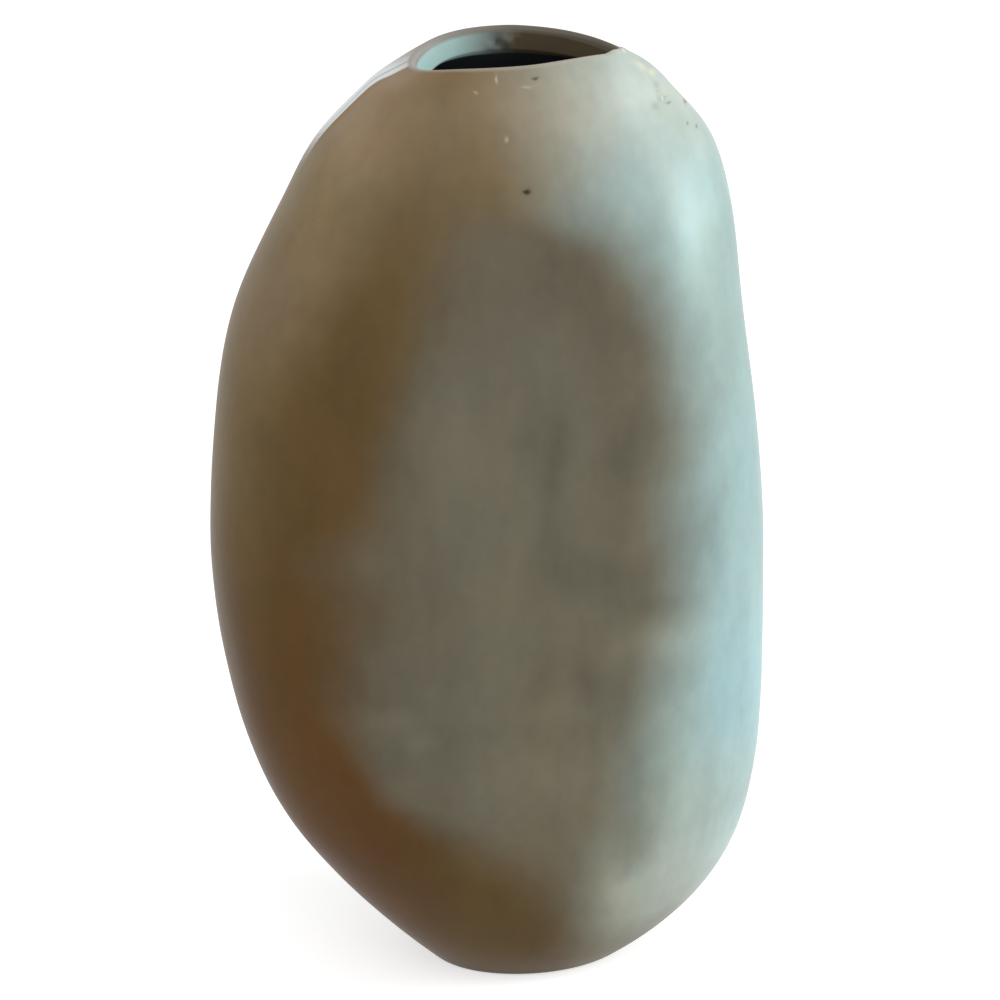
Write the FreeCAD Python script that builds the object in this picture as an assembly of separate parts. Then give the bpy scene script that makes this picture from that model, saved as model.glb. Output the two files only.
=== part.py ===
import FreeCAD, Part
import math
import os

# A tall pillow vase of four clay pieces: two pressed walls, a floor and a mouth ring.
# Millimetres. +X is its right side, -Y its front and +Z up. The origin is on the table,
# under the middle of its width and depth.

# How far each side of the vase reaches from the upright centre line, where it is widest
LEFT_REACH = 107.5
RIGHT_REACH = 108.0
FRONT_REACH = 61.5
BACK_REACH = 61.5

# Height of the walls up to the collar seam, and the mean rise of the lip above that seam
SEAM_HEIGHT = 352.0
COLLAR_RISE = 16.0

# Clay thickness of the walls, the floor and the rounded lip
WALL = 6.0
FLOOR = 7.0
LIP_THICKNESS = 3.6
FOOT_EDGE = 2.0

# The leaf-shaped mouth, measured outside the lip, and the collar that stands down inside it
# and leans in at its left end
MOUTH_LENGTH = 82.5
MOUTH_WIDTH = 48.0
MOUTH_SHIFT = 11.2
COLLAR_DEPTH = 9.0
COLLAR_LEAN = 3.5

# The shallow hollows that the pressed walls have in the middle: depth, place and spread
FRONT_HOLLOW = 3.0
BACK_HOLLOW = 2.0
HOLLOW_ACROSS = 8.0
HOLLOW_HEIGHT = 165.0
HOLLOW_HALF_WIDTH = 48.0
HOLLOW_HALF_HEIGHT = 105.0

# One overrun serves every cutting block
OVERRUN = 20.0

# Outlines of the walls. Each column belongs to one level, from the table to the collar seam.
# Levels are shares of SEAM_HEIGHT, and the rest are shares of the reach that they follow.
LEVEL_SHARES = (0.0, 0.023, 0.09, 0.20, 0.34, 0.50, 0.65, 0.795, 0.90, 0.96, 1.0)
LEFT_SHARES = (0.200, 0.280, 0.498, 0.765, 0.925, 0.995, 0.972, 0.872, 0.712, 0.594, 0.454)
RIGHT_SHARES = (0.500, 0.605, 0.836, 0.976, 1.0, 0.995, 0.948, 0.890, 0.840, 0.765, 0.655)
FRONT_SHARES = (0.455, 0.585, 0.800, 0.940, 1.0, 1.0, 0.955, 0.910, 0.805, 0.667, 0.545)
BACK_SHARES = (0.440, 0.570, 0.785, 0.930, 1.0, 1.0, 0.965, 0.915, 0.800, 0.667, 0.553)

# How much squarer than an ellipse each end of a cross section is, as a share of its power
LEFT_SQUARE_SHARES = (0.0, 0.0, 0.02, 0.05, 0.10, 0.10, 0.10, 0.08, 0.06, 0.10, 0.14)
RIGHT_SQUARE_SHARES = (0.0, 0.0, 0.05, 0.14, 0.22, 0.25, 0.25, 0.20, 0.10, 0.0, -0.07)
LIP_SQUARE_SHARES = (0.04, -0.10)
ELLIPSE_POWER = 2.0

# The shoulder between the collar seam and the lip, in two steps. Each share goes from the seam
# to the lip, on the left, right, front and back.
SHOULDER_WAY_SHARES = ((0.31, 0.25, 0.31, 0.28), (0.63, 0.62, 0.605, 0.61))
SHOULDER_RISE_SHARES = ((0.46, 0.385, 0.37, 0.32), (0.73, 0.78, 0.70, 0.78))

# How far the lip waves above or below its mean height at eight places, from the right end
# round by the back, as shares of the wave's depth
LIP_WAVE = 4.5
LIP_WAVE_SHARES = (-0.33, 0.42, 1.04, 0.55, -0.70, -0.30, 0.07, 0.22)

# Where the leaning shoulder meets the lip, as shares of the half round over the lip, on the left,
# right, front and back. A flat shoulder meets it late, and a steep one early.
LIP_START_SHARES = (0.36, 0.36, 0.22, 0.28)

# Points round each cross section, steps over the rounded lip, and the share of SEAM_HEIGHT
# over which the lean of a wall is taken
POINTS_ROUND = 24
CROWN_STEPS = 6
LEAN_SHARE = 0.01


def smooth_value(places, values, place):
    """Read a table of values as a smooth curve through its points."""
    last = len(places) - 2
    k = 0
    while k < last and place > places[k + 1]:
        k += 1
    slopes = []
    for j in (k, k + 1):
        before, after = max(j - 1, 0), min(j + 1, len(places) - 1)
        slopes.append((values[after] - values[before]) / (places[after] - places[before]))
    span = places[k + 1] - places[k]
    t = (place - places[k]) / span
    start = (1 + 2 * t) * (1 - t) ** 2 * values[k] + t * (1 - t) ** 2 * span * slopes[0]
    end = t * t * (3 - 2 * t) * values[k + 1] - t * t * (1 - t) * span * slopes[1]
    return start + end


def wave_value(values, turn):
    """Read values at even places round a ring as a smooth closed curve. One turn is 1."""
    count = len(values)
    k = int(turn * count)
    t = turn * count - k
    a, b, c, d = (values[(k + j) % count] for j in (-1, 0, 1, 2))
    return b + t * ((c - a) + t * ((2 * a - 5 * b + 4 * c - d) + t * (3 * (b - c) + d - a))) / 2


def four_sides(turn, left, right, front, back):
    """Blend the values of the four sides at one place round a ring."""
    across, deep = math.cos(turn * math.tau), math.sin(turn * math.tau)
    return across ** 2 * (left if across < 0 else right) + deep ** 2 * (front if deep < 0 else back)


def reaches(share):
    """How far the outside reaches left, right, front and back at one level."""
    return (LEFT_REACH * smooth_value(LEVEL_SHARES, LEFT_SHARES, share),
            RIGHT_REACH * smooth_value(LEVEL_SHARES, RIGHT_SHARES, share),
            FRONT_REACH * smooth_value(LEVEL_SHARES, FRONT_SHARES, share),
            BACK_REACH * smooth_value(LEVEL_SHARES, BACK_SHARES, share))


def inner_reaches(share):
    """The same for the inside. A wall that leans takes more room along the level."""
    low, high = max(share - LEAN_SHARE, 0.0), min(share + LEAN_SHARE, 1.0)
    rise = (high - low) * SEAM_HEIGHT
    inside = []
    for here, below, above in zip(reaches(share), reaches(low), reaches(high)):
        inside.append(here - WALL * math.hypot(1, (above - below) / rise))
    return inside


def section_point(turn, sides, squares):
    """Place on a cross section: part of an ellipse on each quarter, made squarer at each end."""
    left, right, front, back = sides
    across, deep = math.cos(turn * math.tau), math.sin(turn * math.tau)
    power = ELLIPSE_POWER * (1 + (squares[0] if across < 0 else squares[1]))
    x = (right - left) / 2 + (right + left) / 2 * math.copysign(abs(across) ** (2 / power), across)
    y = (front if deep < 0 else back) * math.copysign(abs(deep) ** (2 / power), deep)
    return x, y


def hollow(x, y, height):
    """How far the middle of a pressed wall is pushed in."""
    spread = ((x - HOLLOW_ACROSS) / HOLLOW_HALF_WIDTH) ** 2
    spread += ((height - HOLLOW_HEIGHT) / HOLLOW_HALF_HEIGHT) ** 2
    depth = -FRONT_HOLLOW if y < 0 else BACK_HOLLOW
    return depth * math.exp(-spread)


def turns():
    return [k / POINTS_ROUND for k in range(POINTS_ROUND)]


def level_ring(share, sides):
    """The points of one level cross section."""
    squares = (smooth_value(LEVEL_SHARES, LEFT_SQUARE_SHARES, share),
               smooth_value(LEVEL_SHARES, RIGHT_SQUARE_SHARES, share))
    height = share * SEAM_HEIGHT
    points = []
    for turn in turns():
        x, y = section_point(turn, sides, squares)
        seam_fade = abs(math.sin(turn * math.tau))
        y -= seam_fade * hollow(x, y, height)
        points.append(FreeCAD.Vector(x, y, height))
    return points


def lip_point(turn, inset, drop, lean=0.0):
    """A place along the wavy lip, that far inside its outer edge and below its top.
    The lean moves the left end further in."""
    half = MOUTH_LENGTH / 2 - inset
    sides = (half - MOUTH_SHIFT, half + MOUTH_SHIFT, MOUTH_WIDTH / 2 - inset, MOUTH_WIDTH / 2 - inset)
    x, y = section_point(turn, sides, LIP_SQUARE_SHARES)
    height = SEAM_HEIGHT + COLLAR_RISE + LIP_WAVE * wave_value(LIP_WAVE_SHARES, turn) - drop
    return FreeCAD.Vector(x + four_sides(turn, lean, 0.0, 0.0, 0.0), y, height)


def crown_ring(share):
    """A ring over the rounded lip, from where the shoulder meets it to its inner edge."""
    radius = LIP_THICKNESS / 2
    points = []
    for turn in turns():
        start = four_sides(turn, *LIP_START_SHARES)
        angle = math.pi * (start + (1 - start) * share)
        points.append(lip_point(turn, radius - radius * math.cos(angle), radius - radius * math.sin(angle)))
    return points


def shoulder_ring(seam, lip, way_shares, rise_shares):
    """A ring between the collar seam and the lip."""
    points = []
    for turn, low, high in zip(turns(), seam, lip):
        way = four_sides(turn, *way_shares)
        rise = four_sides(turn, *rise_shares)
        step = high - low
        points.append(low + FreeCAD.Vector(step.x * way, step.y * way, step.z * rise))
    return points


def closed_curve(points):
    """A smooth closed curve through the points, evenly counted so that all rings match."""
    curve = Part.BSplineCurve()
    marks = [k / len(points) for k in range(len(points) + 1)]
    curve.interpolate(Points=points, PeriodicFlag=True, Parameters=marks)
    return Part.Wire(curve.toShape())


def outer_rings():
    rings = [level_ring(share, reaches(share)) for share in LEVEL_SHARES]
    lip = crown_ring(0.0)
    for way_shares, rise_shares in zip(SHOULDER_WAY_SHARES, SHOULDER_RISE_SHARES):
        rings.append(shoulder_ring(rings[len(LEVEL_SHARES) - 1], lip, way_shares, rise_shares))
    return rings + [lip]


def crown_rings():
    return [crown_ring(k / CROWN_STEPS) for k in range(CROWN_STEPS + 1)]


def collar_edge():
    """The crisp lower edge of the collar."""
    return [lip_point(turn, LIP_THICKNESS, COLLAR_DEPTH, COLLAR_LEAN) for turn in turns()]


def inner_rings():
    floor_share = FLOOR / SEAM_HEIGHT
    shares = [floor_share] + [share for share in LEVEL_SHARES if share > 2 * floor_share]
    return [level_ring(share, inner_reaches(share)) for share in shares] + [collar_edge()]


def skin(rings, ruled=False):
    return Part.makeLoft([closed_curve(ring) for ring in rings], False, ruled).Faces


def clay():
    """All the clay of the vase in one body, which the seams then divide."""
    outer, crown, inner = outer_rings(), crown_rings(), inner_rings()
    faces = skin(outer) + skin(crown, ruled=True) + skin([crown[-1], collar_edge()], ruled=True) + skin(inner)
    faces.append(Part.Face(closed_curve(outer[0])))
    faces.append(Part.Face(closed_curve(inner[0])))
    shell = Part.makeShell(faces)
    shell.sewShape()
    return Part.Solid(shell)


def block(low, high, front, back):
    """A cutting block as wide as the vase, between two heights and two depths."""
    width = LEFT_REACH + RIGHT_REACH + 2 * OVERRUN
    corner = FreeCAD.Vector(-LEFT_REACH - OVERRUN, front, low)
    return Part.makeBox(width, back - front, high - low, corner)


FRONT_FACE = -FRONT_REACH - OVERRUN
BACK_FACE = BACK_REACH + OVERRUN
TOP_FACE = SEAM_HEIGHT + COLLAR_RISE + 2 * LIP_WAVE + OVERRUN


def foot_slab(body):
    """The floor, with its lower edge wiped round."""
    slab = body.common(block(-OVERRUN, FLOOR, FRONT_FACE, BACK_FACE))
    rim = [edge for edge in slab.Edges if edge.BoundBox.ZMax < FOOT_EDGE / 2]
    return slab.makeFillet(FOOT_EDGE, rim)


def front_slab(body):
    return body.common(block(FLOOR, SEAM_HEIGHT, FRONT_FACE, 0.0))


def back_slab(body):
    return body.common(block(FLOOR, SEAM_HEIGHT, 0.0, BACK_FACE))


def mouth_collar(body):
    return body.common(block(SEAM_HEIGHT, TOP_FACE, FRONT_FACE, BACK_FACE))


os.makedirs("parts", exist_ok=True)
CLAY = clay()
for make in (foot_slab, front_slab, back_slab, mouth_collar):
    piece = make(CLAY)
    piece.exportStep("parts/" + make.__name__ + ".step")
    print(make.__name__, "solids", len(piece.Solids), "valid", piece.isValid(), "volume", round(piece.Volume))
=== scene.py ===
# %% [markdown]
# # A tall pillow vase
#
# This lesson finishes a hand-built stoneware vase that already exists as a CAD model: two pressed
# walls, a floor and a mouth ring. The CAD model settles every size. Blender adds what a potter's
# hands and the glaze add: slightly uneven walls, a wiped foot, and a satin glaze whose own tone is
# taupe. Over it the tone drifts from umber on one side to pale celadon on the other, as painted
# warm shade and painted cool light.
#
# The imported model comes first, as a fixed frame. Everything below is in metres in that frame:
# +X is the vase's right, -Y its front and +Z up, with the table at zero.

# %% Load the frame
import math

import bpy
import numpy as np
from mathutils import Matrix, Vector, noise


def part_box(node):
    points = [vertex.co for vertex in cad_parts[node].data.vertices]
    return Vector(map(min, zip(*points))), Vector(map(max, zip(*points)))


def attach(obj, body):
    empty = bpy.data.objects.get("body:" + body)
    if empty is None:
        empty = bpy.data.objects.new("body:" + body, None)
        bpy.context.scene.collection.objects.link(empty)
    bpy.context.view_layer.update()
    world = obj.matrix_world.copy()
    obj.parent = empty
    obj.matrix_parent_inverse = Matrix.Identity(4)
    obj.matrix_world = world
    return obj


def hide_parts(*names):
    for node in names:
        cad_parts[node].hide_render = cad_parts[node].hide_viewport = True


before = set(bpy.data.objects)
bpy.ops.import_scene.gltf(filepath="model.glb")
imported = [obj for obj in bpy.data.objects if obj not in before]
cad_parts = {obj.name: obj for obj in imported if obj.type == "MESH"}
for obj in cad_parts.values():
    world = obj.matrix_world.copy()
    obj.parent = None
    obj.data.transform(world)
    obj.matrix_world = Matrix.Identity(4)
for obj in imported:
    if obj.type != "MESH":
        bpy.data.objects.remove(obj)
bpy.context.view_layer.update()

MM = 0.001

# %% [markdown]
# ## The form as rings
#
# A pillow vase has no straight line and no true circle, so no primitive comes near it. A potter
# checks such a form with card templates held at a few heights. The mesh does the same: each level
# has a cross section, which reaches so far to the left, right, front and back. The tables hold
# those reaches as shares of the widest one, and the seam heights are read from the CAD pieces.

# %% Sizes of the walls
front_low, front_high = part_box("front_slab")
FLOOR_HEIGHT = front_low.z
SEAM_HEIGHT = front_high.z
LEFT_REACH, RIGHT_REACH = 107.5 * MM, 108 * MM
FRONT_REACH, BACK_REACH = 61.5 * MM, 61.5 * MM

# One column for each level, from the table up to the collar seam
LEVEL_SHARES = np.array((0.0, 0.023, 0.09, 0.20, 0.34, 0.50, 0.65, 0.795, 0.90, 0.96, 1.0))
LEFT_SHARES = (0.200, 0.280, 0.498, 0.765, 0.925, 0.995, 0.972, 0.872, 0.712, 0.594, 0.454)
RIGHT_SHARES = (0.500, 0.605, 0.836, 0.976, 1.0, 0.995, 0.948, 0.890, 0.840, 0.765, 0.655)
FRONT_SHARES = (0.455, 0.585, 0.800, 0.940, 1.0, 1.0, 0.955, 0.910, 0.805, 0.667, 0.545)
BACK_SHARES = (0.440, 0.570, 0.785, 0.930, 1.0, 1.0, 0.965, 0.915, 0.800, 0.667, 0.553)

# How much squarer than an ellipse the left and the right end of each level are
LEFT_SQUARE_SHARES = (0.0, 0.0, 0.02, 0.05, 0.10, 0.10, 0.10, 0.08, 0.06, 0.10, 0.14)
RIGHT_SQUARE_SHARES = (0.0, 0.0, 0.05, 0.14, 0.22, 0.25, 0.25, 0.20, 0.10, 0.0, -0.07)
print("floor and seam in mm:", round(FLOOR_HEIGHT / MM, 1), round(SEAM_HEIGHT / MM, 1))

# %% [markdown]
# ## Smooth curves through few points
#
# A spline is a thin lath bent through pins. `spline` solves for the bend at every pin at once, so
# the curve has no kink that a satin highlight would show. For a closed ring the pins are repeated
# before and after the turn that is wanted, which closes it without a rule of its own.

# %% Splines
def spline(pins, values, at):
    """Reads a smooth curve through values at the pins, at other places."""
    pins, at = np.asarray(pins, float), np.atleast_1d(np.asarray(at, float))
    values = np.asarray(values, float)
    flat = values.reshape(len(pins), -1)
    step = np.diff(pins)
    slope = np.diff(flat, axis=0) / step[:, None]
    rows = np.eye(len(pins))
    pull = np.zeros_like(flat)
    for k in range(1, len(pins) - 1):
        rows[k, k - 1:k + 2] = step[k - 1], 2 * (step[k - 1] + step[k]), step[k]
        pull[k] = 6 * (slope[k] - slope[k - 1])
    bend = np.linalg.solve(rows, pull)
    k = np.clip(np.searchsorted(pins, at, side="right") - 1, 0, len(step) - 1)
    h = step[k][:, None]
    after = (at - pins[k])[:, None]
    before = h - after
    curve = (bend[k] * before ** 3 + bend[k + 1] * after ** 3) / (6 * h)
    curve += (flat[k] / h - bend[k] * h / 6) * before + (flat[k + 1] / h - bend[k + 1] * h / 6) * after
    return curve.reshape((len(at),) + values.shape[1:])


def ring_spline(values, turns):
    """The same round a closed ring whose values lie at even steps of one turn."""
    values = np.asarray(values, float)
    count = len(values)
    pins = np.arange(-count, 2 * count) / count
    return spline(pins, np.concatenate([values] * 3), turns)


def level_value(shares, share):
    """Reads one of the tables at a level, which is a share of the seam's height."""
    return spline(LEVEL_SHARES, shares, share)[0]


print("left reach halfway up, as a share:", round(float(level_value(LEFT_SHARES, 0.5)), 3))


# %% [markdown]
# ## Cross sections
#
# Each quarter of a cross section is part of an ellipse, made a little squarer where the slab was
# bent round a fuller corner. Twenty-four points round the ring are enough, because the spline
# fills in the rest.

# %% Cross sections
POINTS_ROUND = 24
ring_turns = np.arange(POINTS_ROUND) / POINTS_ROUND
ring_across, ring_deep = np.cos(ring_turns * math.tau), np.sin(ring_turns * math.tau)


def signed_power(value, power):
    return np.sign(value) * np.abs(value) ** power


def section_ring(sides, squares):
    """x and y round a cross section, from its reaches to the left, right, front and back."""
    left, right, front, back = sides
    power = 1 / (1 + np.where(ring_across < 0, squares[0], squares[1]))
    x = (right - left) / 2 + (right + left) / 2 * signed_power(ring_across, power)
    y = np.where(ring_deep < 0, front, back) * signed_power(ring_deep, power)
    return x, y


def four_sides(left, right, front, back):
    """Blends the values of the four sides round a ring."""
    across = ring_across ** 2 * np.where(ring_across < 0, left, right)
    return across + ring_deep ** 2 * np.where(ring_deep < 0, front, back)


def reaches(share):
    """How far the outside reaches to the left, right, front and back at a level."""
    tables = (LEFT_SHARES, RIGHT_SHARES, FRONT_SHARES, BACK_SHARES)
    widest = (LEFT_REACH, RIGHT_REACH, FRONT_REACH, BACK_REACH)
    return [reach * level_value(table, share) for reach, table in zip(widest, tables)]


print("reaches halfway up in mm:", [round(float(reach) / MM, 1) for reach in reaches(0.5)])


# %% [markdown]
# ## The pressed hollow and the level rings
#
# The middle of each wall was pressed in while the slab was leather hard, which gives the pillow its
# soft dent. The inside follows the outside at one wall's thickness, measured square to the clay,
# so a leaning wall takes more room along the level.

# %% Level rings
WALL = 6 * MM
HOLLOWS = {"front": 3 * MM, "back": 2 * MM}
HOLLOW_PLACE = (8 * MM, 165 * MM)
HOLLOW_SPREAD = (48 * MM, 105 * MM)
LEAN_SHARE = 0.01


def hollow(x, y, height):
    """How far the middle of a pressed wall is pushed in, towards +Y in front."""
    spread = ((x - HOLLOW_PLACE[0]) / HOLLOW_SPREAD[0]) ** 2
    spread += ((height - HOLLOW_PLACE[1]) / HOLLOW_SPREAD[1]) ** 2
    return np.where(y < 0, HOLLOWS["front"], -HOLLOWS["back"]) * np.exp(-spread)


def level_ring(share, inside=False):
    """The points of one level, on the outside or on the inside of the wall."""
    sides = reaches(share)
    if inside:
        low, high = max(share - LEAN_SHARE, 0.0), min(share + LEAN_SHARE, 1.0)
        leans = (np.array(reaches(high)) - np.array(reaches(low))) / ((high - low) * SEAM_HEIGHT)
        sides = [side - WALL * math.hypot(1, lean) for side, lean in zip(sides, leans)]
    squares = [level_value(table, share) for table in (LEFT_SQUARE_SHARES, RIGHT_SQUARE_SHARES)]
    x, y = section_ring(sides, squares)
    height = share * SEAM_HEIGHT
    y = y + np.abs(ring_deep) * hollow(x, y, height)
    return np.stack([x, y, np.full_like(x, height)], axis=1)


print("widest level ring in mm:", np.round(np.ptp(level_ring(0.5), axis=0) / MM, 1))

# %% [markdown]
# ## The lip and the shoulder
#
# The mouth is a leaf: blunt on the left, pointed on the right. Its lip waves because it was pinched
# by hand, and it doubles back as a short collar that stands down inside. A ring for the lip is the
# leaf outline moved in and down by the amounts that a rounded edge needs.

# %% Sizes of the mouth
COLLAR_RISE = 16 * MM
LIP_THICKNESS = 3.6 * MM
LIP_RADIUS = LIP_THICKNESS / 2
MOUTH_LENGTH, MOUTH_WIDTH, MOUTH_SHIFT = 82.5 * MM, 48 * MM, 11.2 * MM
COLLAR_DEPTH, COLLAR_LEAN = 9 * MM, 3.5 * MM
LIP_SQUARE_SHARES = (0.04, -0.10)

# Two steps of the shoulder from the seam to the lip, each on the left, right, front and back
SHOULDER_WAY_SHARES = ((0.31, 0.25, 0.31, 0.28), (0.63, 0.62, 0.605, 0.61))
SHOULDER_RISE_SHARES = ((0.46, 0.385, 0.37, 0.32), (0.73, 0.78, 0.70, 0.78))

# Where the shoulder runs into the rounded lip, on the same four sides
LIP_START_SHARES = (0.36, 0.36, 0.22, 0.28)

# How far the lip waves at eight places, from the right end round by the back
LIP_WAVE = 4.5 * MM
LIP_WAVE_SHARES = (-0.33, 0.42, 1.04, 0.55, -0.70, -0.30, 0.07, 0.22)
print("mouth in mm:", round(MOUTH_LENGTH / MM, 1), "by", round(MOUTH_WIDTH / MM, 1))

# %% Lip and shoulder rings
wave_at_ring = LIP_WAVE * ring_spline(LIP_WAVE_SHARES, ring_turns)


def lip_ring(inset, drop, lean=0.0):
    """The leaf outline, that far inside the lip's outer edge and below its top."""
    half = MOUTH_LENGTH / 2 - inset
    deep = MOUTH_WIDTH / 2 - inset
    x, y = section_ring((half - MOUTH_SHIFT, half + MOUTH_SHIFT, deep, deep), LIP_SQUARE_SHARES)
    x = x + four_sides(lean, 0.0, 0.0, 0.0)
    return np.stack([x, y, SEAM_HEIGHT + COLLAR_RISE + wave_at_ring - drop], axis=1)


def crown_ring(share):
    """A ring over the rounded lip, from where the shoulder meets it to its inner edge."""
    start = four_sides(*LIP_START_SHARES)
    angle = math.pi * (start + (1 - start) * share)
    return lip_ring(LIP_RADIUS * (1 - np.cos(angle)), LIP_RADIUS * (1 - np.sin(angle)))


def shoulder_ring(seam, lip, way_shares, rise_shares):
    """A ring between the collar seam and the lip."""
    way, rise = four_sides(*way_shares), four_sides(*rise_shares)
    return seam + (lip - seam) * np.stack([way, way, rise], axis=1)


# %% All rings in order
outer_rings = [level_ring(share) for share in LEVEL_SHARES]
outer_lip = crown_ring(0.0)
for way_shares, rise_shares in zip(SHOULDER_WAY_SHARES, SHOULDER_RISE_SHARES):
    outer_rings.append(shoulder_ring(outer_rings[len(LEVEL_SHARES) - 1], outer_lip, way_shares, rise_shares))
outer_rings.append(outer_lip)
collar_edge = lip_ring(LIP_THICKNESS, COLLAR_DEPTH, COLLAR_LEAN)
floor_share = FLOOR_HEIGHT / SEAM_HEIGHT
inner_shares = [floor_share] + [share for share in LEVEL_SHARES if share > 2 * floor_share]
inner_rings = [level_ring(share, inside=True) for share in inner_shares] + [collar_edge]
print("rings outside and inside:", len(outer_rings), len(inner_rings))

# %% [markdown]
# ## One skin from foot to floor
#
# The glazed surface is one continuous skin: up the outside, over the lip, down the collar and down
# the inside to the floor. It is made as one grid of rows and columns, so that the light runs over
# the seams without a break, and it is cut into the real pieces afterwards. Two columns lie exactly
# on the upright seams, and rows lie exactly on the floor seam and the collar seam.

# %% Rows of the skin
COLUMNS = 256
SEARCH_STEPS = 4000
column_turns = np.arange(COLUMNS) / COLUMNS


def skin_pins(rings):
    """How far each ring lies along the skin from the first one."""
    gaps = [np.linalg.norm(b - a, axis=1).mean() for a, b in zip(rings, rings[1:])]
    return np.concatenate([[0.0], np.cumsum(gaps)])


def skin_rows(rings, places):
    """Full rows of the smooth skin through the rings, at distances along it."""
    rows = spline(skin_pins(rings), np.array(rings), places)
    return np.swapaxes(ring_spline(np.swapaxes(rows, 0, 1), column_turns), 0, 1)


def place_at_height(rings, height):
    """How far along the skin a height is reached."""
    pins = skin_pins(rings)
    places = np.linspace(0, pins[-1], SEARCH_STEPS)
    heights = spline(pins, [ring[:, 2].mean() for ring in rings], places)
    return np.interp(height, heights, places)


def full_ring(ring):
    return ring_spline(ring, column_turns)


outer_pins, inner_pins = skin_pins(outer_rings), skin_pins(inner_rings)
outer_seam, inner_seam = outer_pins[len(LEVEL_SHARES) - 1], inner_pins[len(inner_shares) - 1]
print("skin outside and inside in mm:", round(outer_pins[-1] / MM), round(inner_pins[-1] / MM))

# %% [markdown]
# ## Strips of the skin
#
# The skin is laid in strips, as the potter meets them: the wiped foot, the wall, the shoulder, the
# lip, the collar, its underside and the inside. Each strip gets as many rows as its bend needs, so
# the small round of the lip has rows under half a millimetre apart and the tall wall has wide ones.
# The wiped edge of the foot is a curve from the underside to the wall, bent round the sharp corner.

# %% The foot and its side
FOOT_EDGE = 2 * MM
WIPED_TUCK = 1.5 * FOOT_EDGE
WIPED_ROWS, FOOT_ROWS = 7, 4
outer_floor = place_at_height(outer_rings, FLOOR_HEIGHT)
outer_edge = place_at_height(outer_rings, FOOT_EDGE)
base, side_start = skin_rows(outer_rings, [0.0, outer_edge])
middle = base.mean(axis=0)
inwards = (middle - base) / np.linalg.norm(middle - base, axis=1)[:, None]
tucked = base + WIPED_TUCK * inwards
wiped = [(1 - s) ** 2 * tucked + 2 * s * (1 - s) * base + s ** 2 * side_start
         for s in np.linspace(0, 1, WIPED_ROWS)]
foot_side = skin_rows(outer_rings, np.linspace(outer_edge, outer_floor, FOOT_ROWS))[1:]
print("rows of the foot:", len(wiped), len(foot_side))

# %% The walls, the lip and the collar
WALL_ROWS, SHOULDER_ROWS, CROWN_STEPS, COLLAR_ROWS, UNDER_ROWS = 112, 22, 12, 14, 8
wall_out = skin_rows(outer_rings, np.linspace(outer_floor, outer_seam, WALL_ROWS))[1:]
shoulder = skin_rows(outer_rings, np.linspace(outer_seam, outer_pins[-1], SHOULDER_ROWS))[1:]
crown = [full_ring(crown_ring(share)) for share in np.linspace(0, 1, CROWN_STEPS + 1)[1:]]
collar_foot = full_ring(collar_edge)
collar = [crown[-1] + (collar_foot - crown[-1]) * s for s in np.linspace(0, 1, COLLAR_ROWS)[1:]]
under = skin_rows(inner_rings, np.linspace(inner_pins[-1], inner_seam, UNDER_ROWS))[1:]
wall_in = skin_rows(inner_rings, np.linspace(inner_seam, 0.0, WALL_ROWS))[1:]

# The number of the last row of each strip, where one piece or one surface ends
strips = [wiped, foot_side, wall_out, shoulder, crown, collar, under, wall_in]
skin = np.concatenate([np.asarray(strip) for strip in strips])
ends = np.cumsum([len(strip) for strip in strips]) - 1
FLOOR_OUT, SEAM_OUT, LIP_OUT, LIP_IN, EDGE_IN, SEAM_IN, FLOOR_IN = (int(end) for end in ends[1:])
print("skin rows and columns:", skin.shape[0], skin.shape[1])

# %% [markdown]
# ## Directions of the skin
#
# The direction that the skin faces follows from its neighbours along the row and the column. These
# normals serve twice: the marks of the hands are pushed along them, and they shade the finished
# pieces, so that a seam between two pieces catches no line of light. `past_lip` is how far each
# point lies past the lip's crest, measured along the skin: below zero outside, above zero inside.

# %% Directions of the skin
TINY = 1e-12


def directions(grid):
    """The way that each point of a grid faces, from its neighbours."""
    along_row = np.roll(grid, -1, axis=1) - np.roll(grid, 1, axis=1)
    along_column = np.gradient(grid, axis=0)
    facing = np.cross(along_row, along_column)
    return facing / np.maximum(np.linalg.norm(facing, axis=2), TINY)[:, :, None]


normals = directions(skin)
crest = (LIP_OUT + LIP_IN) // 2
past_lip = np.zeros(skin.shape[:2])
past_lip[1:] = np.cumsum(np.linalg.norm(np.diff(skin, axis=0), axis=2), axis=0)
past_lip -= past_lip[crest]
print("skin faces outwards at the belly:", normals[FLOOR_OUT + WALL_ROWS // 2, 0].round(2))

# %% [markdown]
# ## Uneven walls
#
# A wall that was pressed and scraped by hand is never even. Two soft noises, one as wide as a palm
# and one as wide as a thumb, move the clay by less than a millimetre, which is enough to make a
# satin highlight wander. A few presses are listed: each has a place, a spread and how far the clay
# comes out. All of it fades towards the foot and the lip, where the clay was trimmed.

# %% Uneven walls
PALM_SPREAD, PALM_DEPTH, PALM_SEED = 62 * MM, 0.75 * MM, 3.1
THUMB_SPREAD, THUMB_DEPTH, THUMB_SEED = 24 * MM, 0.16 * MM, 8.4
PRESSES = (
    # across, deep, height, spread, how far the clay comes out, all in mm
    (50, -57, 150, 20, 1.3),
    (30, -58, 240, 24, -0.9),
    (16, -55, 62, 22, 0.8),
    (-48, -50, 112, 16, 0.9),
    (-86, 0, 328, 16, -1.5),
)


def soft_noise(points, spread, seed):
    """Smooth noise from -1 to 1, the same on every run, for many points."""
    offset = Vector((seed, 2.7 * seed, 0.6 * seed))
    heights = [noise.noise(Vector(point) / spread + offset) for point in points.reshape(-1, 3)]
    return np.array(heights).reshape(points.shape[:-1])


def press(points, across, deep, height, spread, depth):
    """How far one press moves each point out."""
    away = np.linalg.norm(points - np.array((across, deep, height)) * MM, axis=-1)
    return depth * MM * np.exp(-(away / (spread * MM)) ** 2)


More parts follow.
